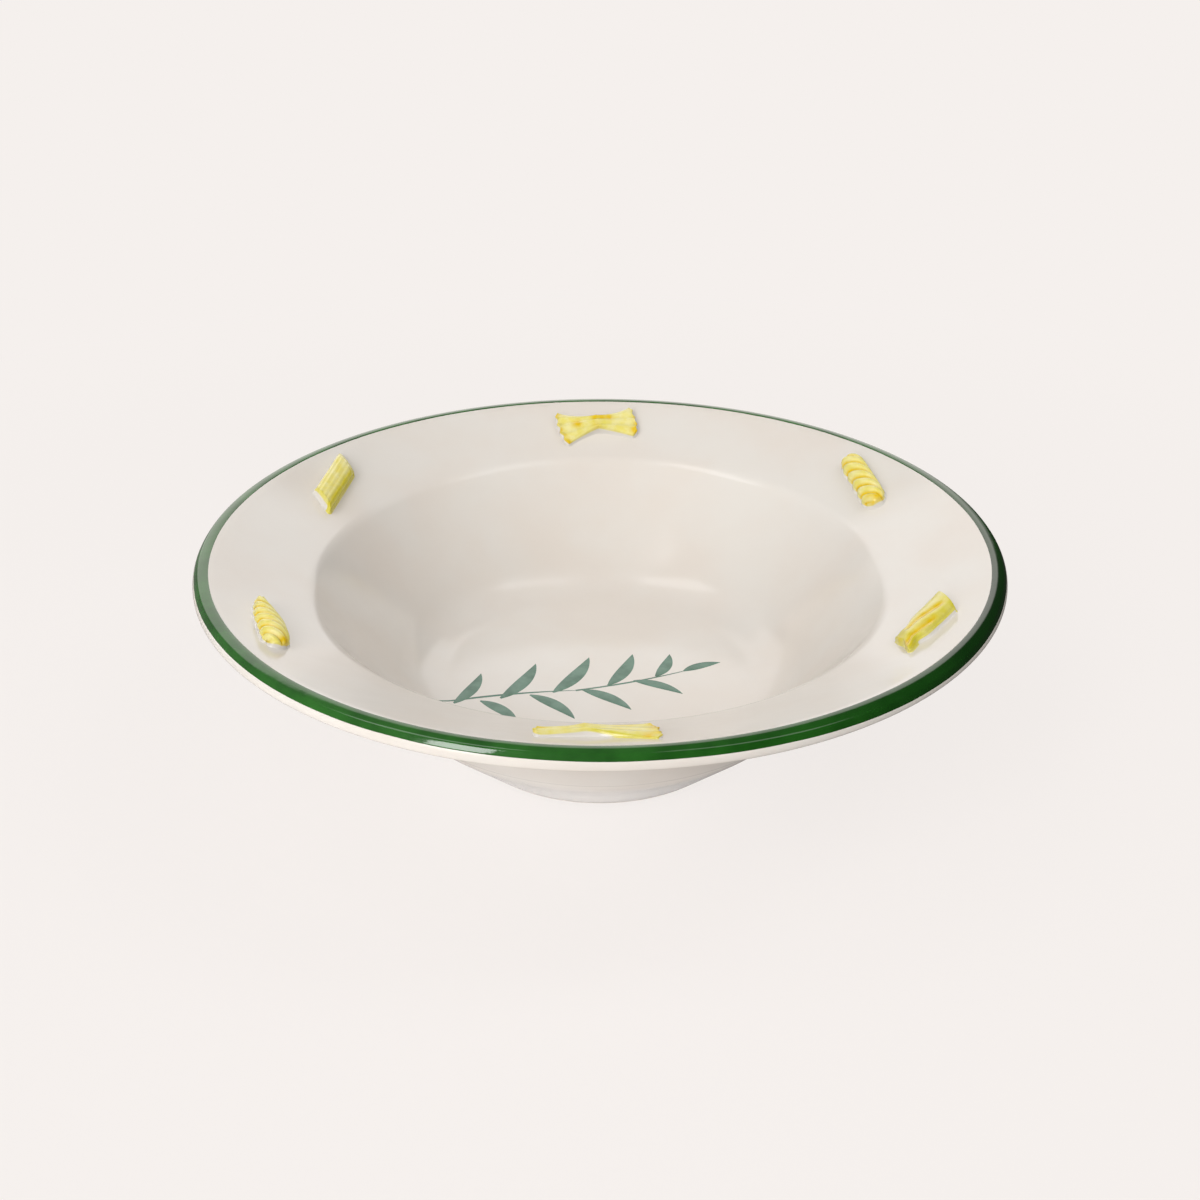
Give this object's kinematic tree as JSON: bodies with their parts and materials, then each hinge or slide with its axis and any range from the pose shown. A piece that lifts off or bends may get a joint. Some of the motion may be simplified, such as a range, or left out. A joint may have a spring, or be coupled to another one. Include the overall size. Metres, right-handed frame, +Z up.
{
  "type": "deep plate",
  "caption": "Deep pasta plate with a sunken well, wide sloping rim bearing raised pasta shapes, green edge band and tapered foot ring.",
  "frame": {"origin": "centre of the foot's resting circle, on the table", "axes": "+Z up along the plate's axis, -Y towards the viewer of the picture, +X to the viewer's right"},
  "size_m": [0.26, 0.26, 0.0744],
  "materials": {
    "cream_glaze": "glossy",
    "green_glaze": "glossy",
    "yellow_glaze": "glossy"
  },
  "bodies": {
    "root": {"plate_body": "cream_glaze", "foot_ring": "cream_glaze", "rim_band": "green_glaze", "bow_back": "yellow_glaze", "penne_upper_left": "yellow_glaze", "spiral_upper_right": "yellow_glaze", "bow_front": "yellow_glaze", "penne_lower_right": "yellow_glaze", "spiral_lower_left": "yellow_glaze"}
  },
  "joints": []
}
